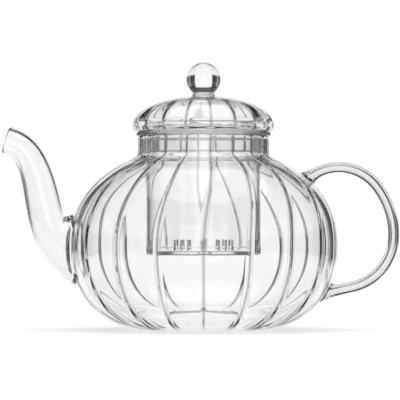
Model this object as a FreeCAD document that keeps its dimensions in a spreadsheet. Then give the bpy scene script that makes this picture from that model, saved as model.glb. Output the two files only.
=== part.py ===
"""Ribbed glass teapot: pot with fused spout and handle, lift-out slotted infuser, lift-off domed lid.

Millimetres, +Z up. The origin is the centre of the foot on the table, the pot's axis is Z,
the spout points along -X and the handle along +X.
"""

import FreeCAD, Part
import math
import os

import Sketcher
from FreeCAD import Placement, Rotation, Vector

# Driving dimensions, one spreadsheet cell each. Lengths in mm, angles in degrees.
DRIVING_SIZES = {
    # Blown pot
    "belly_radius": 75.5,
    "belly_height": 46.5,
    "foot_radius": 31.0,
    "bowl_fullness": 2.1,
    "shoulder_rise": 55.0,
    "shoulder_fullness": 2.3,
    "shoulder_sweep": 70.0,
    "neck_height": 9.8,
    "neck_blend": 14.0,
    "pot_wall": 2.4,
    "floor_thickness": 4.0,
    "punt_radius": 22.0,
    "punt_rise": 1.4,
    # Ribs of the pot and the lid
    "rib_count": 18,
    "rib_depth": 2.0,
    "inner_rib_depth": 1.0,
    "rib_valley_softness": 0.22,
    "rib_fade": 1.5,
    "rib_twist": 6.0,
    # Infuser
    "infuser_radius": 33.0,
    "infuser_gap": 0.7,
    "infuser_wall": 2.0,
    "infuser_depth": 69.8,
    "infuser_floor_thickness": 2.2,
    "infuser_rim_thickness": 2.8,
    "infuser_rim_overhang": 0.8,
    "slit_groups": 8,
    "slit_width": 0.8,
    "slit_height": 6.0,
    "slit_pitch": 3.8,
    "slit_turn": 22.5,
    # Lid
    "lid_overhang": 2.1,
    "lid_edge_height": 3.4,
    "lid_edge_tuck": 3.0,
    "lid_dome_rise": 16.6,
    "lid_wall": 2.2,
    "lid_rib_depth": 1.1,
    "collar_gap": 0.8,
    "collar_wall": 2.0,
    "collar_depth": 12.5,
    "knob_radius": 9.6,
    "knob_height": 9.7,
    "knob_foot_radius": 6.7,
    "knob_waist_radius": 6.0,
    # Spout: its top line and its under line in the XZ plane, each a cubic with a guide at both ends
    "spout_tip_reach": 111.1,
    "spout_tip_height": 106.6,
    "spout_tip_radius": 7.65,
    "spout_tip_lean": 17.0,
    "spout_wall": 1.8,
    "spout_root_top": 63.3,
    "spout_root_bottom": 26.7,
    "spout_root_stand_off": 3.0,
    "spout_root_slant": 5.6,
    "spout_top_lag": 1.8,
    "spout_top_root_guide": 25.8,
    "spout_top_root_angle": 101.4,
    "spout_top_tip_guide": 20.6,
    "spout_top_tip_angle": -11.0,
    "spout_under_root_guide": 40.6,
    "spout_under_root_angle": 158.0,
    "spout_under_tip_guide": 20.3,
    "spout_under_tip_angle": -6.5,
    "spout_weld_width": 1.6,
    # Handle tube: three tangent arcs between two straight ends, in the XZ plane
    "handle_rod_radius": 3.1,
    "handle_wall": 1.8,
    "handle_reach": 107.0,
    "handle_waist_height": 53.2,
    "handle_crest_radius": 27.0,
    "handle_back_radius": 45.0,
    "handle_heel_radius": 30.0,
    "handle_crest_turn": 38.0,
    "handle_crest_sweep": 84.0,
    "handle_heel_sweep": 78.0,
    "handle_weld_width": 2.0,
}

BOWL_STEPS = 9
SHOULDER_STEPS = 14
NECK_STEPS = 4
LID_STEPS = 10
POINTS_PER_RIB = 8
SPOUT_STEPS = 16
POINTS_PER_CIRCLE = 24
CUT_MARGIN = 6.0

doc = FreeCAD.newDocument("GlassTeapot")
sheet = doc.addObject("Spreadsheet::Sheet", "Sizes")
for row, (alias, value) in enumerate(DRIVING_SIZES.items(), start=1):
    sheet.set(f"A{row}", alias)
    sheet.set(f"B{row}", str(value))
    sheet.setAlias(f"B{row}", alias)
doc.recompute()


def size(alias):
    """A driving dimension as it stands in the spreadsheet."""
    return float(sheet.get(alias))


# Places that follow from the driving dimensions, as numbers here and as expressions for the bound features
inner_neck_radius = size("infuser_radius") + size("infuser_gap") + size("inner_rib_depth")
neck_radius = inner_neck_radius + size("pot_wall")
rim_height = (
    size("belly_height")
    + size("shoulder_rise")
    * math.sin(math.radians(size("shoulder_sweep"))) ** (2 / size("shoulder_fullness"))
    + size("neck_height")
)
seat_height = rim_height + size("infuser_rim_thickness")
lid_radius = neck_radius + size("infuser_rim_overhang") + size("lid_overhang")

NECK_RADIUS = "Sizes.infuser_radius + Sizes.infuser_gap + Sizes.inner_rib_depth + Sizes.pot_wall"
RIM_HEIGHT = (
    "Sizes.belly_height + Sizes.neck_height"
    " + Sizes.shoulder_rise * sin(Sizes.shoulder_sweep * 1deg)^(2 / Sizes.shoulder_fullness)"
)
SEAT_HEIGHT = f"{RIM_HEIGHT} + Sizes.infuser_rim_thickness"
TUBE_BORE = "Sizes.infuser_radius - Sizes.infuser_wall"
COLLAR_RADIUS = f"{TUBE_BORE} - Sizes.collar_gap"
LID_RADIUS = f"{NECK_RADIUS} + Sizes.infuser_rim_overhang + Sizes.lid_overhang"
LID_TOP = (
    f"{SEAT_HEIGHT} + Sizes.lid_edge_height"
    f" + Sizes.lid_dome_rise * sqrt(1 - (Sizes.knob_foot_radius / ({LID_RADIUS}))^2)"
)


def rib_profile(turn):
    """Height of a rib over its valley, 0 to 1, for an angle counted in whole ribs from a crest."""
    softness = size("rib_valley_softness")
    swell = math.sqrt(math.cos(math.pi * turn) ** 2 + softness**2) - softness
    return swell / (math.sqrt(1 + softness**2) - softness)


def ribbed_ring(crest_radius, height, depth, twist):
    """Points of a closed ribbed outline at one height, turned by the twist in degrees."""
    count = int(size("rib_count")) * POINTS_PER_RIB
    points = []
    for step in range(count):
        radius = crest_radius - depth * (1 - rib_profile(step / POINTS_PER_RIB))
        angle = 2 * math.pi * step / count + math.radians(twist)
        points.append(Vector(radius * math.cos(angle), radius * math.sin(angle), height))
    return points


def solid_along(rings):
    """A solid with one smooth side that follows the rings, closed by a flat face at each end."""
    around = len(rings[0])
    along = len(rings)
    degree = min(3, along - 1)
    surface = Part.BSplineSurface()
    surface.buildFromPolesMultsKnots(
        [list(column) for column in zip(*rings)],
        [1] * (around + 1),
        [degree + 1] + [1] * (along - degree - 1) + [degree + 1],
        list(range(around + 1)),
        list(range(along - degree + 1)),
        True,
        False,
        3,
        degree,
    )
    side = surface.toShape()
    ends = [Part.Face(Part.Wire(edge)) for edge in side.Edges if edge.isClosed()]
    skin = Part.makeCompound([side] + ends)
    skin.sewShape()
    return Part.makeSolid(skin.Shells[0])


def rib_depth_at(radius, full_depth):
    """Ribs grow shallower where the pot is narrower."""
    return full_depth * (radius / size("belly_radius")) ** size("rib_fade")


def rib_twist_at(height):
    """The ribs run straight up the bowl and lean over the shoulder."""
    share = (height - size("belly_height")) / (rim_height - size("belly_height"))
    share = min(max(share, 0.0), 1.0)
    return size("rib_twist") * share * share * (3 - 2 * share)


def pot_profile(floor, inset, neck, rim):
    """Radius and height of the pot's side from its foot to its rim, the belly set in by the wall."""
    belly = size("belly_radius") - inset
    belly_height = size("belly_height")
    foot = size("foot_radius")
    bowl_power = 2 / size("bowl_fullness")
    shoulder_power = 2 / size("shoulder_fullness")
    blend = size("neck_blend")
    points = []
    for step in range(BOWL_STEPS):
        turn = math.radians(90 * step / BOWL_STEPS)
        radius = foot + (belly - foot) * math.sin(turn) ** bowl_power
        points.append((radius, floor + (belly_height - floor) * (1 - math.cos(turn) ** bowl_power)))
    for step in range(SHOULDER_STEPS + 1):
        turn = math.radians(size("shoulder_sweep") * step / SHOULDER_STEPS)
        shoulder = belly * math.cos(turn) ** shoulder_power
        radius = (shoulder**blend + neck**blend) ** (1 / blend)
        rise = (size("shoulder_rise") - inset) * math.sin(turn) ** shoulder_power
        points.append((radius, belly_height + rise))
    neck_foot = points[-1][1]
    for step in range(NECK_STEPS):
        points.append((neck, neck_foot + (rim - neck_foot) * (step + 1) / NECK_STEPS))
    return points


def ribbed_form(profile, full_depth):
    """A ribbed solid along a profile."""
    rings = [
        ribbed_ring(radius, height, rib_depth_at(radius, full_depth), rib_twist_at(height))
        for radius, height in profile
    ]
    return solid_along(rings)


def add_feature(name, shape):
    feature = doc.addObject("Part::Feature", name)
    feature.Shape = shape
    return feature


def add_cut(name, base, tool):
    cut = doc.addObject("Part::Cut", name)
    cut.Base = base
    cut.Tool = tool
    return cut


def bound(kind, name, **sizes):
    """A Part primitive with its properties bound to the spreadsheet."""
    item = doc.addObject(kind, name)
    for prop, expression in sizes.items():
        item.setExpression(prop.replace("__", "."), expression)
    return item


# Pot: outer and inner forms, the punt under the foot, and later the hole into the spout
pot_outer = add_feature(
    "PotOuterForm", ribbed_form(pot_profile(0, 0, neck_radius, rim_height), size("rib_depth"))
)
pot_inner = add_feature(
    "PotInnerForm",
    ribbed_form(
        pot_profile(
            size("floor_thickness"), size("pot_wall"), inner_neck_radius, rim_height + CUT_MARGIN
        ),
        size("inner_rib_depth"),
    ),
)
punt = bound(
    "Part::Cone",
    "Punt",
    Radius1="Sizes.punt_radius",
    Radius2="Sizes.punt_radius - 3 * Sizes.punt_rise",
    Height="Sizes.punt_rise",
)
pot_shell = add_cut("PotShell", pot_outer, pot_inner)
pot_with_punt = add_cut("PotWithPunt", pot_shell, punt)


# Spout: round sections strung between its top line and its under line
def guide_end(start, name):
    """The far end of a named guide that leaves a line's end."""
    angle = math.radians(size(f"{name}_angle"))
    return start + Vector(math.cos(angle), 0, math.sin(angle)) * size(f"{name}_guide")


def cubic(start, finish, line, share):
    """A point of one of the spout's lines, between its two ends and their guides."""
    first = guide_end(start, f"{line}_root")
    second = guide_end(finish, f"{line}_tip")
    rest = 1 - share
    return (
        start * rest**3
        + first * (3 * rest**2 * share)
        + second * (3 * rest * share**2)
        + finish * share**3
    )


tip_lean = math.radians(size("spout_tip_lean"))
tip_centre = Vector(-size("spout_tip_reach"), 0, size("spout_tip_height"))
tip_half = Vector(math.sin(tip_lean), 0, math.cos(tip_lean)) * size("spout_tip_radius")
root_x = -(size("belly_radius") + size("spout_root_stand_off"))
root_top = Vector(root_x, 0, size("spout_root_top"))
root_bottom = Vector(root_x + size("spout_root_slant"), 0, size("spout_root_bottom"))


def spout_sections():
    """Top and bottom points of the spout's sections, from inside the pot to the tip."""
    inward = Vector(2 * (size("spout_root_stand_off") + size("pot_wall")), 0, 0)
    pairs = [(root_top + inward, root_bottom + inward)]
    for step in range(SPOUT_STEPS + 1):
        share = step / SPOUT_STEPS
        top = cubic(root_top, tip_centre + tip_half, "spout_top", share ** size("spout_top_lag"))
        under = cubic(root_bottom, tip_centre - tip_half, "spout_under", share)
        pairs.append((top, under))
    return pairs


def round_form(pairs, inset):
    """A solid along circles that stand on pairs of points, drawn in by the inset."""
    step = 2 * math.pi / POINTS_PER_CIRCLE
    net_share = (2 + math.cos(step)) / 3
    rings = []
    for top, under in pairs:
        centre = (top + under) * 0.5
        half = (top - under) * 0.5
        radius = (half.Length - inset) / net_share
        up = half * (radius / half.Length)
        side = Vector(0, radius, 0)
        rings.append(
            [
                centre + up * math.cos(step * index) + side * math.sin(step * index)
                for index in range(POINTS_PER_CIRCLE)
            ]
        )
    return solid_along(rings)


sections = spout_sections()
tip_facing = Vector(-math.cos(tip_lean), 0, math.sin(tip_lean)) * size("spout_tip_radius")
past_tip = (sections[-1][0] + tip_facing, sections[-1][1] + tip_facing)
spout_form = add_feature("SpoutForm", round_form(sections, 0))
spout_bore = add_feature("SpoutBore", round_form(sections + [past_tip], size("spout_wall")))
spout_tube = add_cut("SpoutTube", spout_form, spout_bore)
spout = add_cut("Spout", spout_tube, pot_outer)
pot_body = add_cut("PotBody", pot_with_punt, spout_bore)

# Ring of glass that welds the spout's root to the pot
weld_form = add_feature("SpoutWeldForm", round_form(sections[:2], -size("spout_weld_width")))
weld_sleeve = add_cut("SpoutWeldSleeve", weld_form, spout_form)
spout_weld_ring = add_cut("SpoutWeldRing", weld_sleeve, pot_outer)


# Handle: one thick tube along three tangent arcs, with straight ends that run on into the pot
def polar(centre, radius, degrees):
    angle = math.radians(degrees)
    return centre + Vector(radius * math.cos(angle), 0, radius * math.sin(angle))


def arc(centre, radius, start, finish):
    middle = polar(centre, radius, (start + finish) / 2)
    return Part.Arc(polar(centre, radius, start), middle, polar(centre, radius, finish)).toShape()


crest_turn = size("handle_crest_turn")
crest_end = crest_turn + size("handle_crest_sweep")
heel_turn = -size("handle_heel_sweep")
back_centre = Vector(size("handle_reach") - size("handle_back_radius"), 0, size("handle_waist_height"))
crest_centre = polar(back_centre, size("handle_back_radius") - size("handle_crest_radius"), crest_turn)
heel_centre = Vector(size("handle_reach") - size("handle_heel_radius"), 0, size("handle_waist_height"))
heel_start = polar(heel_centre, size("handle_heel_radius"), heel_turn)
end_run = size("handle_reach") - size("belly_radius")
heel_end = polar(heel_start, end_run, heel_turn - 90)
crest_start = polar(crest_centre, size("handle_crest_radius"), crest_end)
crest_root = polar(crest_start, end_run, crest_end + 90)
handle_path = add_feature(
    "HandlePath",
    Part.Wire(
        [
            Part.LineSegment(crest_root, crest_start).toShape(),
            arc(crest_centre, size("handle_crest_radius"), crest_end, crest_turn),
            arc(back_centre, size("handle_back_radius"), crest_turn, 0),
            arc(heel_centre, size("handle_heel_radius"), 0, heel_turn),
            Part.LineSegment(heel_start, heel_end).toShape(),
        ]
    ),
)


def swept_rod(name, radius):
    """A round rod of a bound radius along the handle's path."""
    section = bound("Part::Circle", f"{name}Section", Radius=radius)
    section.Placement = Placement(crest_root, Rotation(Vector(0, 0, 1), crest_start - crest_root))
    doc.recompute()
    rod = doc.addObject("Part::Sweep", name)
    rod.Sections = [section]
    rod.Spine = (handle_path, [f"Edge{index + 1}" for index in range(len(handle_path.Shape.Edges))])
    rod.Solid = True
    rod.Transition = "Round corner"
    return rod


handle_rod = swept_rod("HandleRod", "Sizes.handle_rod_radius")
handle_bore = swept_rod("HandleBore", "Sizes.handle_rod_radius - Sizes.handle_wall")
handle_tube = add_cut("HandleTube", handle_rod, handle_bore)
handle = add_cut("Handle", handle_tube, pot_outer)


# Beads of glass that weld the tube's two ends to the pot
def handle_weld(name, crossing):
    bead = bound(
        "Part::Sphere", f"{name}Bead", Radius="Sizes.handle_rod_radius + Sizes.handle_weld_width"
    )
    bead.Placement = Placement(crossing, Rotation())
    sleeve = add_cut(f"{name}Sleeve", bead, handle_rod)
    return add_cut(name, sleeve, pot_outer)


outside_points = [vertex.Point for vertex in handle_path.Shape.cut(pot_outer.Shape).Vertexes]
upper_points = [point for point in outside_points if point.z > size("handle_waist_height")]
lower_points = [point for point in outside_points if point.z < size("handle_waist_height")]
handle_upper_weld = handle_weld("HandleUpperWeld", min(upper_points, key=lambda point: point.x))
handle_lower_weld = handle_weld("HandleLowerWeld", min(lower_points, key=lambda point: point.x))


# Turned and pressed pieces, each a body with bound sketches
def origin_feature(body, role):
    return next(item for item in body.Origin.OriginFeatures if item.Role == role)


def new_body(name, height):
    body = doc.addObject("PartDesign::Body", name)
    body.setExpression("Placement.Base.z", height)
    return body


def rectangle(sketch, name, left, right, low, high):
    """A rectangle in a sketch whose four sides are bound to expressions, measured from the sketch's origin."""
    corners = [Vector(1, 1, 0), Vector(2, 1, 0), Vector(2, 2, 0), Vector(1, 2, 0)]
    sides = [
        sketch.addGeometry(Part.LineSegment(corners[index], corners[(index + 1) % 4]), False)
        for index in range(4)
    ]
    for index in range(4):
        sketch.addConstraint(
            Sketcher.Constraint("Coincident", sides[index], 2, sides[(index + 1) % 4], 1)
        )
    for index in (0, 2):
        sketch.addConstraint(Sketcher.Constraint("Horizontal", sides[index]))
        sketch.addConstraint(Sketcher.Constraint("Vertical", sides[index + 1]))
    places = [
        ("DistanceX", "left", sides[0], 1, left),
        ("DistanceX", "right", sides[0], 2, right),
        ("DistanceY", "low", sides[0], 1, low),
        ("DistanceY", "high", sides[2], 1, high),
    ]
    for kind, edge, side, end, expression in places:
        start = 1.0 if edge in ("left", "low") else 2.0
        number = sketch.addConstraint(Sketcher.Constraint(kind, -1, 1, side, end, start))
        label = f"{name}_{edge}"
        sketch.renameConstraint(number, label)
        sketch.setExpression(f"Constraints.{label}", expression)


def flat_sketch(body, name, role):
    sketch = body.newObject("Sketcher::SketchObject", name)
    sketch.AttachmentSupport = [(origin_feature(body, role), "")]
    sketch.MapMode = "FlatFace"
    return sketch


def turned_ring(body, name, inner, outer, low, high):
    """A ring turned about the body's Z axis."""
    sketch = flat_sketch(body, f"{name}Section", "XZ_Plane")
    rectangle(sketch, "ring", inner, outer, low, high)
    doc.recompute()
    ring = body.newObject("PartDesign::Revolution", name)
    ring.Profile = sketch
    ring.ReferenceAxis = (sketch, ["V_Axis"])
    ring.Angle = 360
    doc.recompute()
    return ring


# Infuser: slotted tube between its rim, which rests on the pot's neck, and its floor
infuser_rim = new_body("InfuserRim", RIM_HEIGHT)
turned_ring(
    infuser_rim,
    "RimRing",
    TUBE_BORE,
    f"{NECK_RADIUS} + Sizes.infuser_rim_overhang",
    "0",
    "Sizes.infuser_rim_thickness",
)

infuser_floor = new_body("InfuserFloor", f"{SEAT_HEIGHT} - Sizes.infuser_depth")
turned_ring(
    infuser_floor, "FloorDisc", "0", "Sizes.infuser_radius", "0", "Sizes.infuser_floor_thickness"
)

infuser_tube = new_body(
    "InfuserTube", f"{SEAT_HEIGHT} - Sizes.infuser_depth + Sizes.infuser_floor_thickness"
)
turned_ring(
    infuser_tube,
    "TubeWall",
    TUBE_BORE,
    "Sizes.infuser_radius",
    "0",
    "Sizes.infuser_depth - Sizes.infuser_floor_thickness - Sizes.infuser_rim_thickness",
)
infuser_tube.setExpression("Placement.Rotation.Angle", "Sizes.slit_turn * 1deg")
slit_sketch = flat_sketch(infuser_tube, "SlitSection", "XZ_Plane")
for place, name in ((-1, "first"), (0, "middle"), (1, "last")):
    rectangle(
        slit_sketch,
        name,
        f"{place} * Sizes.slit_pitch - Sizes.slit_width / 2",
        f"{place} * Sizes.slit_pitch + Sizes.slit_width / 2",
        "Sizes.slit_width",
        "Sizes.slit_width + Sizes.slit_height",
    )
doc.recompute()
slits = infuser_tube.newObject("PartDesign::Pocket", "Slits")
slits.Profile = slit_sketch
slits.setExpression("Length", "Sizes.infuser_radius + Sizes.infuser_wall")
doc.recompute()
slit_ring = infuser_tube.newObject("PartDesign::PolarPattern", "SlitRing")
slit_ring.Originals = [slits]
slit_ring.Axis = (origin_feature(infuser_tube, "Z_Axis"), [""])
slit_ring.Angle = 360
slit_ring.setExpression("Occurrences", "Sizes.slit_groups")
infuser_tube.Tip = slit_ring
doc.recompute()


# Lid: ribbed hollow dome on a flat seat, collar below it, ball knob above it
def lid_profile():
    """Radius and height of the lid's outside, from its seat round the edge and up to the knob's foot."""
    edge_height = seat_height + size("lid_edge_height")
    points = []
    for step in range(LID_STEPS // 2):
        turn = math.radians(90 * step / (LID_STEPS // 2))
        points.append(
            (
                lid_radius - size("lid_edge_tuck") * (1 - math.sin(turn)),
                edge_height - size("lid_edge_height") * math.cos(turn),
            )
        )
    top_turn = math.acos(size("knob_foot_radius") / lid_radius)
    for step in range(LID_STEPS + 1):
        turn = top_turn * step / LID_STEPS
        points.append(
            (lid_radius * math.cos(turn), edge_height + size("lid_dome_rise") * math.sin(turn))
        )
    return points


lid_rings = [
    ribbed_ring(
        radius, height, size("lid_rib_depth") * (radius / lid_radius) ** size("rib_fade"), size("rib_twist")
    )
    for radius, height in lid_profile()
]
lid_outer = add_feature("LidOuterForm", solid_along(lid_rings))
lid_hollow = bound(
    "Part::Ellipsoid",
    "LidHollow",
    Radius1="Sizes.lid_edge_height + Sizes.lid_dome_rise - 2 * Sizes.lid_wall",
    Radius2=f"{LID_RADIUS} - Sizes.lid_rib_depth - Sizes.lid_wall",
    Placement__Base__z=f"{SEAT_HEIGHT} + Sizes.lid_wall",
)
lid_hollow.Angle1 = 0
lid_mouth = bound(
    "Part::Cylinder",
    "LidMouth",
    Radius=f"{COLLAR_RADIUS} - Sizes.collar_wall",
    Height="2 * Sizes.lid_wall",
    Placement__Base__z=f"{SEAT_HEIGHT} - Sizes.lid_wall / 2",
)
lid_shell = add_cut("LidShell", lid_outer, lid_hollow)
lid_dome = add_cut("LidDome", lid_shell, lid_mouth)

lid_collar = new_body("LidCollar", f"{SEAT_HEIGHT} - Sizes.collar_depth")
turned_ring(
    lid_collar,
    "CollarRing",
    f"{COLLAR_RADIUS} - Sizes.collar_wall",
    COLLAR_RADIUS,
    "0",
    "Sizes.collar_depth",
)

knob_ball = bound(
    "Part::Sphere",
    "KnobBall",
    Radius="Sizes.knob_radius",
    Placement__Base__z=f"{LID_TOP} + Sizes.knob_height",
)
knob_stem = bound(
    "Part::Cone",
    "KnobStem",
    Radius1="Sizes.knob_foot_radius",
    Radius2="Sizes.knob_waist_radius",
    Height="Sizes.knob_height / 3",
    Placement__Base__z=LID_TOP,
)
lid_knob = doc.addObject("Part::Fuse", "LidKnob")
lid_knob.Base = knob_ball
lid_knob.Tool = knob_stem
doc.recompute()

NODES = {
    "pot_body": pot_body,
    "spout": spout,
    "spout_weld_ring": spout_weld_ring,
    "handle": handle,
    "handle_upper_weld": handle_upper_weld,
    "handle_lower_weld": handle_lower_weld,
    "infuser_tube": infuser_tube,
    "infuser_rim": infuser_rim,
    "infuser_floor": infuser_floor,
    "lid_dome": lid_dome,
    "lid_collar": lid_collar,
    "lid_knob": lid_knob,
}
for node, item in NODES.items():
    item.Label = node
doc.recompute()

for item in doc.Objects:
    if "Invalid" in item.State or "Error" in item.State:
        raise RuntimeError(f"{item.Name} did not build: {item.State}")

os.makedirs("parts", exist_ok=True)
for node, item in NODES.items():
    shape = item.Shape
    if shape.isNull() or not shape.isValid() or len(shape.Solids) != 1:
        raise RuntimeError(f"{node} is not one valid solid")
    shape.exportStep(f"parts/{node}.step")
    print(node, round(shape.Volume / 1000, 2), "cm3", shape.BoundBox)
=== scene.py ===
import math

import bmesh
import bpy
from mathutils import Matrix, Vector


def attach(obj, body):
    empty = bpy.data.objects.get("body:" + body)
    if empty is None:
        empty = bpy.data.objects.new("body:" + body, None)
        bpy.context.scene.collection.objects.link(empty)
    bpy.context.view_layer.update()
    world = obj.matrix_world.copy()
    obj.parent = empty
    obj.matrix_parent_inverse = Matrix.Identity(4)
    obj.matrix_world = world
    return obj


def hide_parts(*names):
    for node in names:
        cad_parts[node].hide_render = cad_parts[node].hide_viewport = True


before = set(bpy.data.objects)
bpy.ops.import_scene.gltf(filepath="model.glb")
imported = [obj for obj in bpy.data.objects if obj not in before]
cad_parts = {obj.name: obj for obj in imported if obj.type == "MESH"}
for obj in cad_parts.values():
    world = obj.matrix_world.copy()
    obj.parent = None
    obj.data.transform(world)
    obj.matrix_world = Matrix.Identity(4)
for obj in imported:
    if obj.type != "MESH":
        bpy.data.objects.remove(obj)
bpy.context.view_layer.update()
scene = bpy.context.scene
scene.view_settings.view_transform = "Standard"
MM = 0.001

# Sizes of the glass, in millimetres
BELLY_RADIUS, BELLY_HEIGHT, FOOT_RADIUS = 75.5, 46.5, 31.0
BOWL_POWER, SHOULDER_POWER = 2 / 2.1, 2 / 2.3
SHOULDER_RISE, SHOULDER_SWEEP, NECK_BLEND = 55.0, 70.0, 14.0
POT_WALL, FLOOR_THICKNESS, PUNT_RADIUS, PUNT_RISE = 2.4, 4.0, 22.0, 1.4
NECK_RADIUS, INNER_NECK_RADIUS = 37.1, 34.7
NECK_HEIGHTS, RIM_HEIGHT, RIM_ROUND = (100, 103, 106.4), 108.4, 1.2
CONTACT_GAP = 0.05

# Ribs: the fades say how fast ribs and creases shrink towards the foot and the neck
RIBS, RIB_DEPTH, INNER_RIB_DEPTH, RIB_TWIST = 18, 1.1, 1.05, 6.0
VALLEY_SOFTNESS, CREASE_DEPTH, CREASE_WIDTH = 0.22, 0.9, 1.0
RIB_FADE, CREASE_FADE, LID_CREASE_FADE = 1.5, 0.5, 0.7

INFUSER_RADIUS, INFUSER_BORE, INFUSER_BOTTOM, INFUSER_FLOOR = 33.0, 31.0, 41.4, 43.6
FLANGE_RADIUS, FLANGE_EDGE, SEAT_HEIGHT = 37.9, 0.6, 111.2
SLIT_GROUPS, SLIT_WIDTH, SLIT_HEIGHT, SLIT_PITCH, SAW_DEPTH = 8, 0.8, 6.0, 3.8, 10

LID_RADIUS, LID_EDGE_HEIGHT, LID_TUCK, LID_RISE = 40.0, 3.4, 3.0, 16.6
LID_WALL, LID_HOLLOW, LID_RIB_DEPTH, LID_CREASE = 2.2, 36.7, 0.5, 0.6
LID_SEAT_MIDDLE, LID_LEDGE_MIDDLE = 34.5, 33
COLLAR_RADIUS, COLLAR_BORE, COLLAR_BOTTOM = 30.2, 28.2, 98.7
KNOB_RADIUS, KNOB_CENTRE, KNOB_FOOT, KNOB_WAIST = 9.6, 140.67, 6.7, 6.0

# Fineness of the meshes; crowding draws the steps round a rib towards its creases
BOWL_STEPS, SHOULDER_STEPS, STEPS_PER_RIB, CROWDING = 18, 25, 24, 0.8
SPOUT_STEPS, SPOUT_SIDES, HANDLE_SIDES, INFUSER_STEPS = 18, 48, 24, 64
SHARP_ANGLE = math.radians(50)


# Glass forms
def rib_drop(angle, radius, depth, crease):
    """How far the glass lies inside its crest line: a broad rib with a narrow crease in its valley."""
    turn = math.cos(RIBS / 2 * angle)
    swell = math.sqrt(turn * turn + VALLEY_SOFTNESS**2) - VALLEY_SOFTNESS
    swell /= math.sqrt(1 + VALLEY_SOFTNESS**2) - VALLEY_SOFTNESS
    return depth * (1 - swell) + crease * crease_share(angle, radius)


def crease_share(angle, radius):
    """How near a place lies to the bottom of a crease, 0 to 1."""
    aside = math.asin(abs(math.cos(RIBS / 2 * angle))) * 2 / RIBS * radius
    width = CREASE_WIDTH * math.sqrt(radius / BELLY_RADIUS)
    return math.exp(-((aside / width) ** 2))


def rib_lean(height):
    """How far the ribs have turned about the axis at a height: none on the bowl, all of it at the rim."""
    share = min(max((height - BELLY_HEIGHT) / (RIM_HEIGHT - BELLY_HEIGHT), 0), 1)
    return math.radians(RIB_TWIST) * share * share * (3 - 2 * share)


def side_line(floor, inset, neck, depth, crease):
    """The pot's side from the edge of its foot to its neck: radius, height, rib depth, crease depth."""
    belly = BELLY_RADIUS - inset
    line = []
    for step in range(1, BOWL_STEPS):
        turn = math.radians(90 * step / BOWL_STEPS)
        radius = FOOT_RADIUS + (belly - FOOT_RADIUS) * math.sin(turn) ** BOWL_POWER
        line.append((radius, floor + (BELLY_HEIGHT - floor) * (1 - math.cos(turn) ** BOWL_POWER)))
    for step in range(SHOULDER_STEPS + 1):
        turn = math.radians(SHOULDER_SWEEP * step / SHOULDER_STEPS)
        shoulder = belly * math.cos(turn) ** SHOULDER_POWER
        radius = (shoulder**NECK_BLEND + neck**NECK_BLEND) ** (1 / NECK_BLEND)
        line.append((radius, BELLY_HEIGHT + (SHOULDER_RISE - inset) * math.sin(turn) ** SHOULDER_POWER))
    line += [(neck, height) for height in NECK_HEIGHTS]
    ribbed = []
    for radius, height in line:
        share = radius / BELLY_RADIUS
        ribbed.append((radius, height, depth * share**RIB_FADE, crease * share**CREASE_FADE))
    return ribbed


def pot_outline():
    """From the middle of the punt, up the outside, over the rim and down the inside to the floor."""
    outer = side_line(0, 0, NECK_RADIUS, RIB_DEPTH, CREASE_DEPTH)
    inner = side_line(FLOOR_THICKNESS, POT_WALL, INNER_NECK_RADIUS, INNER_RIB_DEPTH, 0)
    ribs, crease = outer[-1][2:]
    foot = [(0, PUNT_RISE), (9, PUNT_RISE), (18, PUNT_RISE), (PUNT_RADIUS, 0.15), (26, 0), (FOOT_RADIUS, 0)]
    rim = [
        (NECK_RADIUS, RIM_HEIGHT - RIM_ROUND, ribs, crease),
        (NECK_RADIUS - 0.25, RIM_HEIGHT - 0.3, ribs, crease * 0.8),
        (NECK_RADIUS - 1.0, RIM_HEIGHT, ribs * 0.8, crease * 0.3),
        (INNER_NECK_RADIUS + 0.9, RIM_HEIGHT, ribs * 0.6, 0),
        (INNER_NECK_RADIUS + 0.2, RIM_HEIGHT - 0.3, ribs * 0.5, 0),
        (INNER_NECK_RADIUS, RIM_HEIGHT - RIM_ROUND, inner[-1][2], 0),
    ]
    floor = [(radius, FLOOR_THICKNESS) for radius in (FOOT_RADIUS, 20, 9, 0)]
    return plain(foot) + outer + rim + inner[::-1] + plain(floor)


def plain(line):
    """An outline without ribs."""
    return [(radius, height, 0, 0) for radius, height in line]


def turned(name, outline, steps, lean=None):
    """A closed turned form: an outline spun about the axis, and ribbed where a lean is given."""
    bm = bmesh.new()
    depth = bm.verts.layers.float.new("rib_depth")
    crease = bm.verts.layers.float.new("rib_crease")
    # this layer masks the painted shade that darkens the glass's colour along the creases
    shade = bm.verts.layers.float.new("painted_crease_shade_mask")
    chain = []
    for radius, height, rib, fold in outline:
        vertex = bm.verts.new((radius * MM, 0, height * MM))
        vertex[depth] = rib
        vertex[crease] = fold
        chain.append(vertex)
    edges = [bm.edges.new(pair) for pair in zip(chain, chain[1:])]
    bmesh.ops.spin(
        bm,
        geom=chain + edges,
        cent=(0, 0, 0),
        axis=(0, 0, 1),
        angle=2 * math.pi,
        steps=steps,
        use_merge=True,
    )
    bmesh.ops.remove_doubles(bm, verts=bm.verts, dist=1e-6)
    bmesh.ops.recalc_face_normals(bm, faces=bm.faces)
    if lean:
        for vertex in bm.verts:
            radius = math.hypot(vertex.co.x, vertex.co.y) / MM
            if radius:
                angle = math.atan2(vertex.co.y, vertex.co.x)
                angle += CROWDING * math.sin(RIBS * angle) / RIBS
                # painted shade mask: 1 at the bottom of a crease, 0 away from it
                vertex[shade] = crease_share(angle, radius) if vertex[crease] else 0
                radius -= rib_drop(angle, radius, vertex[depth], vertex[crease])
                angle += lean(vertex.co.z / MM)
                vertex.co.x = radius * math.cos(angle) * MM
                vertex.co.y = radius * math.sin(angle) * MM
    return finished(name, bm)


def finished(name, bm, smooth=True):
    """An object at the origin from a finished bmesh."""
    mesh = bpy.data.meshes.new(name)
    for face in bm.faces:
        face.smooth = smooth
    bm.to_mesh(mesh)
    bm.free()
    piece = bpy.data.objects.new(name, mesh)
    scene.collection.objects.link(piece)
    return piece


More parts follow.
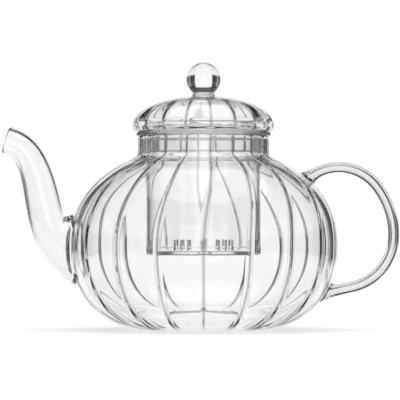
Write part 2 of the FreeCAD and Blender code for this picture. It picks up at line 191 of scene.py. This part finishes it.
def rounded(piece, levels):
    """Subdivision, the same in the view and the render."""
    modifier = piece.modifiers.new("rounding", "SUBSURF")
    modifier.levels = modifier.render_levels = levels


def cut_by(piece, cutter):
    """Takes the cutter's shape out of the piece; the cut faces keep the cutter's material."""
    modifier = piece.modifiers.new("cut", "BOOLEAN")
    modifier.operation = "DIFFERENCE"
    modifier.solver = "EXACT"
    modifier.material_mode = "TRANSFER"
    modifier.object = cutter


def settled(piece, cutter):
    """Bakes the piece's modifiers into its mesh, removes the cutter and keeps sharp edges sharp."""
    baked = bpy.data.meshes.new_from_object(piece.evaluated_get(bpy.context.evaluated_depsgraph_get()))
    piece.modifiers.clear()
    piece.data = baked
    bpy.data.objects.remove(cutter)
    piece.data.set_sharp_from_angle(angle=SHARP_ANGLE)


POT_SIDE = side_line(0, 0, NECK_RADIUS, RIB_DEPTH, CREASE_DEPTH)
SEARCH_HALVINGS = 40


def pot_surface(height, angle):
    """The pot's outer radius at a height on its bowl or shoulder."""
    below = max((point for point in POT_SIDE if point[1] <= height), key=lambda point: point[1])
    above = min((point for point in POT_SIDE if point[1] > height), key=lambda point: point[1])
    share = (height - below[1]) / (above[1] - below[1])
    radius = below[0] + (above[0] - below[0]) * share
    return radius - rib_drop(angle - rib_lean(height), radius, below[2], below[3])


def onto_pot(point, direction, reach):
    """Slides a point along a direction, at most by the reach, until it lies on the pot's outside."""
    low, high = -reach, reach
    for _ in range(SEARCH_HALVINGS):
        middle = (low + high) / 2
        place = point + direction * middle
        if math.hypot(place.x, place.y) < pot_surface(place.z, math.atan2(place.y, place.x)):
            low = middle
        else:
            high = middle
    return point + direction * ((low + high) / 2)


def strung(loops, sides):
    """A skin strung through loops, each a function that places the points of a unit circle."""
    bm = bmesh.new()
    rings = []
    for loop in loops:
        ring = bmesh.ops.create_circle(bm, segments=sides, radius=1.0)["verts"]
        for vertex in ring:
            vertex.co = loop(vertex.co) * MM
        rings.append(ring)
    for first, second in zip(rings, rings[1:]):
        bmesh.ops.bridge_loops(bm, edges=ring_edges(first) + ring_edges(second))
    return bm, rings


def ring_edges(ring):
    members = set(ring)
    edges = {edge for vertex in ring for edge in vertex.link_edges}
    return [edge for edge in edges if set(edge.verts) <= members]


def tube(name, loops, sides):
    """A closed tube wall: loops along the outside and back through the bore to the start."""
    bm, rings = strung(loops, sides)
    bmesh.ops.bridge_loops(bm, edges=ring_edges(rings[-1]) + ring_edges(rings[0]))
    bmesh.ops.recalc_face_normals(bm, faces=bm.faces)
    return finished(name, bm)


# Spout: the top line and the under line of the tube, in the XZ plane
def cubic(points, share):
    rest = 1 - share
    weights = (rest**3, 3 * rest**2 * share, 3 * rest * share**2, share**3)
    return sum((point * weight for point, weight in zip(points, weights)), Vector())


def toward(start, length, degrees):
    angle = math.radians(degrees)
    return start + Vector((math.cos(angle), 0, math.sin(angle))) * length


SPOUT_WALL, SPOUT_REACH = 1.8, 30.0
TIP_CENTRE, TIP_RADIUS, TIP_LEAN = Vector((-111.1, 0, 106.6)), 7.65, math.radians(17)
TIP_HALF = Vector((math.sin(TIP_LEAN), 0, math.cos(TIP_LEAN))) * TIP_RADIUS
TIP_FACING = Vector((-math.cos(TIP_LEAN), 0, math.sin(TIP_LEAN)))
ROOT_TOP, ROOT_BOTTOM = Vector((-78.5, 0, 63.3)), Vector((-72.9, 0, 26.7))
TIP_TOP, TIP_BOTTOM = TIP_CENTRE + TIP_HALF, TIP_CENTRE - TIP_HALF
TOP_LINE = (ROOT_TOP, toward(ROOT_TOP, 25.8, 101.4), toward(TIP_TOP, 20.6, -11.0), TIP_TOP)
UNDER_LINE = (
    ROOT_BOTTOM,
    toward(ROOT_BOTTOM, 40.6, 158.0),
    toward(TIP_BOTTOM, 20.3, -6.5),
    TIP_BOTTOM,
)
TOP_LINE_EASE = 1.8
OUTWARD = Vector((-1, 0, 0))
# The weld at the root, as flare and lift off the pot, and the lip's rounding, as inset and run past the tip
ROOT_FLARE = ((1.5, CONTACT_GAP), (1.6, 1.0), (0.9, 2.2))
LIP_ROUND = ((0.15, -0.25), (0.6, 0.05))
ROOT_END, LIP_START = 0.03, 0.985
HOLE_RUNS = (-12, 6)


def spout_loop(share, inset, push=Vector(), on_pot=None):
    """A round loop of the spout at a share of its length, drawn in by the inset and pushed along."""
    top, under = cubic(TOP_LINE, share**TOP_LINE_EASE), cubic(UNDER_LINE, share)
    centre, half = (top + under) / 2 + push, (top - under) / 2
    radius = half.length - inset
    up = half.normalized()

    def place(unit):
        point = centre + up * (unit.y * radius) + Vector((0, unit.x * radius, 0))
        return onto_pot(point, OUTWARD, SPOUT_REACH) + OUTWARD * on_pot if on_pot is not None else point

    return place


def spout_tube():
    outer = [spout_loop(0, -flare, on_pot=lift) for flare, lift in ROOT_FLARE]
    outer.append(spout_loop(ROOT_END, -0.1))
    outer += [spout_loop(step / SPOUT_STEPS, 0) for step in range(1, SPOUT_STEPS)]
    lip = [spout_loop(LIP_START, 0)]
    lip += [spout_loop(1, inset, TIP_FACING * run) for inset, run in LIP_ROUND]
    lip += [spout_loop(1, SPOUT_WALL - inset, TIP_FACING * run) for inset, run in LIP_ROUND[::-1]]
    lip.append(spout_loop(LIP_START, SPOUT_WALL))
    bore = [spout_loop(step / SPOUT_STEPS, SPOUT_WALL) for step in range(SPOUT_STEPS - 1, 0, -1)]
    bore.append(spout_loop(ROOT_END, SPOUT_WALL))
    bore += [spout_loop(0, SPOUT_WALL, on_pot=lift) for lift in (1.0, CONTACT_GAP)]
    return tube("spout_glass", outer + lip + bore, SPOUT_SIDES)


def spout_hole():
    """The plug that opens the pot's wall into the spout."""
    ends = [spout_loop(0, SPOUT_WALL, OUTWARD * run) for run in HOLE_RUNS]
    bm, rings = strung(ends, SPOUT_SIDES)
    for ring in rings:
        bmesh.ops.edgeloop_fill(bm, edges=ring_edges(ring))
    bmesh.ops.recalc_face_normals(bm, faces=bm.faces)
    return finished("spout_hole", bm)


# Handle: a thick-walled tube along three tangent arcs and a straight heel
HANDLE_RADIUS, HANDLE_BORE, HANDLE_REACH, HANDLE_WAIST = 3.1, 1.3, 107.0, 53.2
CREST_RADIUS, BACK_RADIUS, HEEL_RADIUS = 27.0, 45.0, 30.0
CREST_TURN, CREST_END, HEEL_TURN = 38.0, 122.0, -78.0
CREST_STEPS, BACK_STEPS, HEEL_STEPS = 18, 10, 14
HEEL_RUNS = (0, 4, 7.5, 10)
# The weld at each end, as flare and lift off the pot
WELD_FLARE, WELD_REACH = ((2.0, CONTACT_GAP), (1.4, 0.9), (0.5, 2.2)), 12.0


def handle_line():
    """Points and directions along the handle's centre line, from the shoulder to the bowl."""
    back = Vector((HANDLE_REACH - BACK_RADIUS, 0, HANDLE_WAIST))
    crest = toward(back, BACK_RADIUS - CREST_RADIUS, CREST_TURN)
    heel = Vector((HANDLE_REACH - HEEL_RADIUS, 0, HANDLE_WAIST))
    line = []
    for centre, radius, start, finish, steps in (
        (crest, CREST_RADIUS, CREST_END, CREST_TURN, CREST_STEPS),
        (back, BACK_RADIUS, CREST_TURN, 0, BACK_STEPS),
        (heel, HEEL_RADIUS, 0, HEEL_TURN, HEEL_STEPS),
    ):
        for step in range(steps):
            degrees = start + (finish - start) * step / steps
            line.append((toward(centre, radius, degrees), toward(Vector(), 1, degrees - 90)))
    end = toward(heel, HEEL_RADIUS, HEEL_TURN)
    along = toward(Vector(), 1, HEEL_TURN - 90)
    line += [(end + along * run, along) for run in HEEL_RUNS]
    return line


def handle_loop(point, along, radius, outward=None, lift=CONTACT_GAP):
    """A round loop across the handle; with an outward direction it is laid on the pot and lifted off it."""
    up = Vector((0, 1, 0)).cross(along).normalized()

    def place(unit):
        spot = point + Vector((0, unit.x * radius, 0)) + up * (unit.y * radius)
        return onto_pot(spot, outward, WELD_REACH) + outward * lift if outward is not None else spot

    return place


def handle_weld(point, along, outward):
    """The flared loops of a weld, from the pot outwards."""
    return [handle_loop(point, along, HANDLE_RADIUS + flare, outward, lift) for flare, lift in WELD_FLARE]


def handle_tube():
    line = handle_line()
    point, along = line[0]
    outer = handle_weld(point, along, along)
    bore = [handle_loop(point, along, HANDLE_BORE, along)]
    for point, along in line[1:-1]:
        outer.append(handle_loop(point, along, HANDLE_RADIUS))
        bore.append(handle_loop(point, along, HANDLE_BORE))
    point, along = line[-1]
    outer += handle_weld(point, along, -along)[::-1]
    bore.append(handle_loop(point, along, HANDLE_BORE, -along))
    return tube("handle_glass", outer + bore[::-1], HANDLE_SIDES)


# Infuser: one turned form, then the slits sawn through its wall
def infuser_outline():
    """From the middle of the underside, up the outside, round the flange and down the inside to the floor."""
    radius, bore, bottom, floor = INFUSER_RADIUS, INFUSER_BORE, INFUSER_BOTTOM, INFUSER_FLOOR
    flange, rim, seat = FLANGE_RADIUS, RIM_HEIGHT, SEAT_HEIGHT
    line = [(0, bottom), (12, bottom), (24, bottom), (radius - 1.6, bottom)]
    line += [(radius - 0.5, bottom + 0.5), (radius, bottom + 1.6)]
    line += [(radius, height) for height in (46, 56, 68, 80, 92, 102, 107)]
    line += [(radius + 0.25, rim - 0.1), (radius + 1.2, rim + CONTACT_GAP)]
    line += [(flange - 1.3, rim + CONTACT_GAP), (flange - 0.2, rim + 0.5), (flange, rim + 1.4)]
    line += [(flange - 0.2, seat - 0.5), (flange - 1.3, seat - 0.02)]
    line += [(bore + 1.2, seat - 0.02), (bore + 0.2, seat - 0.4), (bore, seat - 1.4)]
    line += [(bore, height) for height in (104, 92, 80, 68, 56, 48)]
    line += [(bore - 0.3, floor + 0.6), (bore - 1.6, floor), (22, floor), (11, floor), (0, floor)]
    return plain(line)


def slit_saw():
    """Three upright blades for each group of slits."""
    bm = bmesh.new()
    low = INFUSER_FLOOR + SLIT_WIDTH
    for group in range(SLIT_GROUPS):
        turn = Matrix.Rotation(math.radians(360 / SLIT_GROUPS * (group + 0.5)), 4, "Z")
        for place in (-1, 0, 1):
            blade = bmesh.ops.create_cube(bm, size=1.0)["verts"]
            bmesh.ops.scale(bm, verts=blade, vec=Vector((SAW_DEPTH, SLIT_WIDTH, SLIT_HEIGHT)) * MM)
            shift = Vector((INFUSER_RADIUS, place * SLIT_PITCH, low + SLIT_HEIGHT / 2)) * MM
            bmesh.ops.translate(bm, verts=blade, vec=shift)
            bmesh.ops.transform(bm, verts=blade, matrix=turn)
    return finished("slit_saw", bm, smooth=False)


# Lid: knob, ribbed dome, seat and collar as one turned form
def on_ellipse(radius, rise, degrees):
    angle = math.radians(degrees)
    return radius * math.cos(angle), rise * math.sin(angle)


def lid_outline():
    """From the top of the knob, down the dome, round the collar and up the inside to the axis."""
    edge, seat = SEAT_HEIGHT + LID_EDGE_HEIGHT, SEAT_HEIGHT + CONTACT_GAP
    knob = [(0, KNOB_CENTRE + KNOB_RADIUS)]
    for degrees in range(84, -51, -6):
        out, up = on_ellipse(KNOB_RADIUS, KNOB_RADIUS, degrees)
        knob.append((out, KNOB_CENTRE + up))
    foot = edge + LID_RISE * math.sqrt(1 - (KNOB_FOOT / LID_RADIUS) ** 2)
    knob += [(KNOB_WAIST, foot + 2.6), (KNOB_WAIST + 0.1, foot + 1.4), (KNOB_FOOT + 0.2, foot + 0.4)]
    dome = []
    for degrees in range(78, 0, -4):
        out, up = on_ellipse(LID_RADIUS, LID_RISE, degrees)
        share = out / LID_RADIUS
        dome.append((out, edge + up, LID_RIB_DEPTH * share**RIB_FADE, LID_CREASE * share**LID_CREASE_FADE))
    for degrees in (0, 25, 50, 72):
        out, down = on_ellipse(LID_TUCK, LID_EDGE_HEIGHT, degrees)
        dome.append((LID_RADIUS - LID_TUCK + out, edge - down, LID_RIB_DEPTH, LID_CREASE))
    dome.append((LID_RADIUS - LID_TUCK - 0.4, seat, LID_RIB_DEPTH * 0.6, 0))
    collar = [(LID_SEAT_MIDDLE, seat), (COLLAR_RADIUS + 1.0, seat), (COLLAR_RADIUS + 0.1, seat - 0.5)]
    collar += [(COLLAR_RADIUS, seat - down) for down in (1.6, 2.2)]
    collar += [(COLLAR_RADIUS, COLLAR_BOTTOM + up) for up in (1.8, 1.2)]
    middle = (COLLAR_RADIUS + COLLAR_BORE) / 2
    collar += [(COLLAR_RADIUS - 0.25, COLLAR_BOTTOM + 0.25), (middle, COLLAR_BOTTOM)]
    collar += [(COLLAR_BORE + 0.25, COLLAR_BOTTOM + 0.25), (COLLAR_BORE, COLLAR_BOTTOM + 1.2)]
    collar += [(COLLAR_BORE, height) for height in (COLLAR_BOTTOM + 1.8, SEAT_HEIGHT, SEAT_HEIGHT + 0.6)]
    hollow, ledge = LID_HOLLOW, SEAT_HEIGHT + LID_WALL
    rise = LID_EDGE_HEIGHT + LID_RISE - 2 * LID_WALL
    inside = [(COLLAR_BORE + 1.0, ledge - 0.2), (LID_LEDGE_MIDDLE, ledge), (hollow - 1.5, ledge + 0.2)]
    for degrees in range(8, 87, 6):
        out, up = on_ellipse(hollow, rise, degrees)
        inside.append((out, ledge + up))
    inside.append((0, ledge + rise))
    return plain(knob) + dome + plain(collar + inside)


# Glass
GLASS_BEND, GLASS_BODY = 1.47, (0.80, 0.82, 0.82, 1)
HAZE_START, HAZE_FULL, HAZE_ROUGHNESS = 0.55, 0.85, 0.03
# the painted crease shade begins at this share of its mask
RIPPLE_DEPTH, PAINTED_CREASE_SHADE_START, GRAIN_SCALE = 0.0008, 0.25, 900


def new_glass(name):
    """A glass material with its nodes, links and shader."""
    material = bpy.data.materials.new(name)
    material.use_nodes = True
    nodes, links = material.node_tree.nodes, material.node_tree.links
    shader = nodes["Principled BSDF"]
    shader.inputs["Transmission Weight"].default_value = 1.0
    shader.inputs["IOR"].default_value = GLASS_BEND
    return material, nodes, links, shader


def noise(nodes, links, scale, detail):
    """A noise on the piece's own coordinates."""
    coordinates = nodes.new("ShaderNodeTexCoord")
    texture = nodes.new("ShaderNodeTexNoise")
    texture.inputs["Scale"].default_value = scale
    texture.inputs["Detail"].default_value = detail
    links.new(coordinates.outputs["Object"], texture.inputs["Vector"])
    return texture.outputs["Fac"]


def grey_ramp(nodes, links, factor, first, last, start=0.0):
    """A colour that goes from one grey to another as the factor rises from the start to 1."""
    ramp = nodes.new("ShaderNodeValToRGB")
    marks = ramp.color_ramp.elements
    marks[0].position = start
    marks[0].color = (first, first, first, 1)
    marks[1].color = (last, last, last, 1)
    links.new(factor, ramp.inputs["Fac"])
    return ramp.outputs["Color"]


def clear_glass(name, density, ripple_scale, ripple_height, haze_scale, painted_crease_shade=None):
    """Clear glass with a slow ripple, faint haze and a grey body; where a crease shade grey is given, painted
    shade darkens the base colour along the creases.
    """
    material, nodes, links, shader = new_glass(name)
    shader.inputs["Base Color"].default_value = (1, 1, 1, 1)
    if painted_crease_shade:
        # painted shade: the base colour greys along the creases, following the crease mask
        fold = nodes.new("ShaderNodeAttribute")
        fold.attribute_name = "painted_crease_shade_mask"
        painted_shade_colour = grey_ramp(nodes, links, fold.outputs["Fac"], 1, painted_crease_shade, PAINTED_CREASE_SHADE_START)
        links.new(painted_shade_colour, shader.inputs["Base Color"])
    roughness = nodes.new("ShaderNodeMapRange")
    roughness.inputs["From Min"].default_value = HAZE_START
    roughness.inputs["From Max"].default_value = HAZE_FULL
    roughness.inputs["To Min"].default_value = 0.0
    roughness.inputs["To Max"].default_value = HAZE_ROUGHNESS
    links.new(noise(nodes, links, haze_scale, 4), roughness.inputs["Value"])
    links.new(roughness.outputs["Result"], shader.inputs["Roughness"])
    bump = nodes.new("ShaderNodeBump")
    bump.inputs["Strength"].default_value = ripple_height
    bump.inputs["Distance"].default_value = RIPPLE_DEPTH
    links.new(noise(nodes, links, ripple_scale, 1), bump.inputs["Height"])
    links.new(bump.outputs["Normal"], shader.inputs["Normal"])
    body = nodes.new("ShaderNodeVolumeAbsorption")
    body.inputs["Color"].default_value = GLASS_BODY
    body.inputs["Density"].default_value = density
    links.new(body.outputs["Volume"], nodes["Material Output"].inputs["Volume"])
    return material


def ground_glass(name, dark, light, roughness):
    """Dulled glass, grainy and grey: the sawn faces of the slits and the ground edge of the flange."""
    material, nodes, links, shader = new_glass(name)
    shader.inputs["Roughness"].default_value = roughness
    shade = grey_ramp(nodes, links, noise(nodes, links, GRAIN_SCALE, 3), dark, light)
    links.new(shade, shader.inputs["Base Color"])
    return material


# the last number for the pot and the lid is the grey of the painted shade in their creases
pot_glass = clear_glass("pot_glass", 12.0, 38, 0.10, 55, 0.3)
spout_glass = clear_glass("spout_glass", 14.0, 60, 0.06, 70)
handle_glass = clear_glass("handle_glass", 240.0, 80, 0.06, 90)
infuser_glass = clear_glass("infuser_glass", 8.0, 30, 0.05, 65)
lid_glass = clear_glass("lid_glass", 10.0, 70, 0.08, 75, 0.45)
slit_glass = ground_glass("slit_ground_glass", 0.7, 0.95, 0.2)
flange_glass = ground_glass("flange_ground_glass", 0.4, 0.6, 0.25)

# The pieces
pot = turned("pot_glass", pot_outline(), RIBS * STEPS_PER_RIB, rib_lean)
pot.data.materials.append(pot_glass)
hole = spout_hole()
hole.data.materials.append(pot_glass)
cut_by(pot, hole)
settled(pot, hole)

spout = spout_tube()
spout.data.materials.append(spout_glass)
rounded(spout, 1)
handle = handle_tube()
handle.data.materials.append(handle_glass)
rounded(handle, 2)

infuser = turned("infuser_glass", infuser_outline(), INFUSER_STEPS)
infuser.data.materials.append(infuser_glass)
rounded(infuser, 2)
saw = slit_saw()
saw.data.materials.append(slit_glass)
cut_by(infuser, saw)
settled(infuser, saw)
infuser.data.materials.append(flange_glass)
for face in infuser.data.polygons:
    if math.hypot(face.center.x, face.center.y) > (FLANGE_RADIUS - FLANGE_EDGE) * MM:
        face.material_index = len(infuser.data.materials) - 1

lid = turned("lid_glass", lid_outline(), RIBS * STEPS_PER_RIB, lambda height: math.radians(RIB_TWIST))
lid.data.materials.append(lid_glass)

for piece, body, nodes in (
    (pot, "pot", ["pot_body"]),
    (spout, "pot", ["spout", "spout_weld_ring"]),
    (handle, "pot", ["handle", "handle_upper_weld", "handle_lower_weld"]),
    (infuser, "infuser", ["infuser_tube", "infuser_rim", "infuser_floor"]),
    (lid, "lid", ["lid_dome", "lid_collar", "lid_knob"]),
):
    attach(piece, body)
    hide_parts(*nodes)

# Camera: level, a little above the middle of the belly, far away
IMAGE_SIZE, MM_PER_PIXEL = 400, 0.5625
AXIS_COLUMN, FLOOR_ROW = 203.5, 329.5
EYE_HEIGHT, EYE_DISTANCE, SENSOR = 0.048, 1.5, 36
PIXEL = MM_PER_PIXEL * MM
FRAME_WIDTH = IMAGE_SIZE * PIXEL
FRAME_CENTRE = Vector(((IMAGE_SIZE / 2 - AXIS_COLUMN) * PIXEL, 0, (FLOOR_ROW - IMAGE_SIZE / 2) * PIXEL))
camera = bpy.data.objects.new("camera", bpy.data.cameras.new("camera"))
scene.collection.objects.link(camera)
camera.location = (FRAME_CENTRE.x, -EYE_DISTANCE, EYE_HEIGHT)
camera.rotation_euler = (math.radians(90), 0, 0)
camera.data.sensor_width = SENSOR
camera.data.lens = SENSOR * EYE_DISTANCE / FRAME_WIDTH
camera.data.shift_y = (FRAME_CENTRE.z - EYE_HEIGHT) / FRAME_WIDTH
camera.data.clip_end = 100
scene.camera = camera


# Studio: a white panel behind and in front, dark gaps and softer panels round the sides, on a white table.
# Each pair is an angle in degrees, away from straight behind or above level, and the level of light there.
BEARING_LEVELS = (
    (0, 1.0), (19, 1.0), (22, 0.05), (36, 0.05), (40, 0.3), (50, 0.3), (54, 0.05), (80, 0.05), (84, 0.5),
    (96, 0.5), (100, 0.05), (126, 0.05), (130, 0.4), (141, 0.4), (145, 0.05), (158, 0.05), (161, 1.0),
    (180, 1.0),
)
HEIGHT_LEVELS = ((-90, 0.9), (-24, 0.9), (-20, 1.0), (20, 1.0), (24, 0.05), (54, 0.05), (60, 0.5), (90, 0.5))
TABLE_LEVELS = ((-90, 0.95), (-10, 0.95), (-6, 0.0), (90, 0.0))
FLOOR_RADIUS, FLOOR_DROP, FLOOR_GREY, FLOOR_GLOW = 0.6, 0.0002, 0.8, 0.63
TOP_LIGHT_LEVEL, TOP_LIGHT_SPREAD = 1.2, math.radians(70)


def levels_ramp(nodes, stops):
    """A ramp from the first stop's angle to the last stop's angle."""
    ramp = nodes.new("ShaderNodeValToRGB")
    start, span = stops[0][0], stops[-1][0] - stops[0][0]
    marks = ramp.color_ramp.elements
    while len(marks) < len(stops):
        marks.new(0.5)
    for mark, (degrees, level) in zip(marks, stops):
        mark.position = (degrees - start) / span
        mark.color = (level, level, level, 1)
    return ramp


def calculation(tree, operation, first, second=None):
    node = tree.nodes.new("ShaderNodeMath")
    node.operation = operation
    tree.links.new(first, node.inputs[0])
    if isinstance(second, float):
        node.inputs[1].default_value = second
    elif second:
        tree.links.new(second, node.inputs[1])
    return node.outputs[0]


def studio_world():
    """The panels, the gaps and the table as light from all round; the camera itself sees plain white."""
    world = bpy.data.worlds.new("studio")
    scene.world = world
    world.use_nodes = True
    tree = world.node_tree
    nodes, links = tree.nodes, tree.links
    nodes.clear()
    output = nodes.new("ShaderNodeOutputWorld")
    coordinates = nodes.new("ShaderNodeTexCoord")
    split = nodes.new("ShaderNodeSeparateXYZ")
    links.new(coordinates.outputs["Generated"], split.inputs[0])
    bearing = calculation(tree, "ARCTAN2", split.outputs["X"], split.outputs["Y"])
    bearing = calculation(tree, "DIVIDE", calculation(tree, "ABSOLUTE", bearing), math.pi)
    height = calculation(tree, "ARCSINE", split.outputs["Z"])
    height = calculation(tree, "ADD", calculation(tree, "DIVIDE", height, math.pi), 0.5)
    around = levels_ramp(nodes, BEARING_LEVELS)
    links.new(bearing, around.inputs["Fac"])
    upward = levels_ramp(nodes, HEIGHT_LEVELS)
    links.new(height, upward.inputs["Fac"])
    table = levels_ramp(nodes, TABLE_LEVELS)
    links.new(height, table.inputs["Fac"])
    level = calculation(tree, "MAXIMUM", around.outputs["Color"], table.outputs["Color"])
    level = calculation(tree, "MULTIPLY", level, upward.outputs["Color"])
    path = nodes.new("ShaderNodeLightPath")
    level = calculation(tree, "MAXIMUM", level, path.outputs["Is Camera Ray"])
    background = nodes.new("ShaderNodeBackground")
    links.new(level, background.inputs["Color"])
    links.new(background.outputs[0], output.inputs["Surface"])


def pale_floor():
    """A pale disc that takes the shadow; light through the glass passes it and meets the white table."""
    bm = bmesh.new()
    bmesh.ops.create_circle(bm, cap_ends=True, segments=96, radius=FLOOR_RADIUS)
    bmesh.ops.translate(bm, verts=bm.verts, vec=(0, 0, -FLOOR_DROP))
    floor = finished("floor", bm, smooth=False)
    paint = bpy.data.materials.new("pale_floor")
    paint.use_nodes = True
    nodes, links = paint.node_tree.nodes, paint.node_tree.links
    shader = nodes["Principled BSDF"]
    shader.inputs["Base Color"].default_value = (FLOOR_GREY, FLOOR_GREY, FLOOR_GREY, 1)
    shader.inputs["Roughness"].default_value = 0.9
    shader.inputs["Specular IOR Level"].default_value = 0.0
    shader.inputs["Emission Color"].default_value = (1, 1, 1, 1)
    shader.inputs["Emission Strength"].default_value = FLOOR_GLOW
    path = nodes.new("ShaderNodeLightPath")
    clear = nodes.new("ShaderNodeBsdfTransparent")
    seen = nodes.new("ShaderNodeMixShader")
    links.new(path.outputs["Is Transmission Ray"], seen.inputs["Fac"])
    links.new(shader.outputs[0], seen.inputs[1])
    links.new(clear.outputs[0], seen.inputs[2])
    links.new(seen.outputs[0], nodes["Material Output"].inputs["Surface"])
    floor.data.materials.append(paint)


studio_world()
pale_floor()
top_light = bpy.data.objects.new("top_light", bpy.data.lights.new("top_light", "SUN"))
top_light.data.energy = TOP_LIGHT_LEVEL
top_light.data.angle = TOP_LIGHT_SPREAD
scene.collection.objects.link(top_light)

scene.cycles.max_bounces = 32
scene.cycles.transmission_bounces = 32
scene.cycles.glossy_bounces = 12
scene.cycles.use_denoising = True
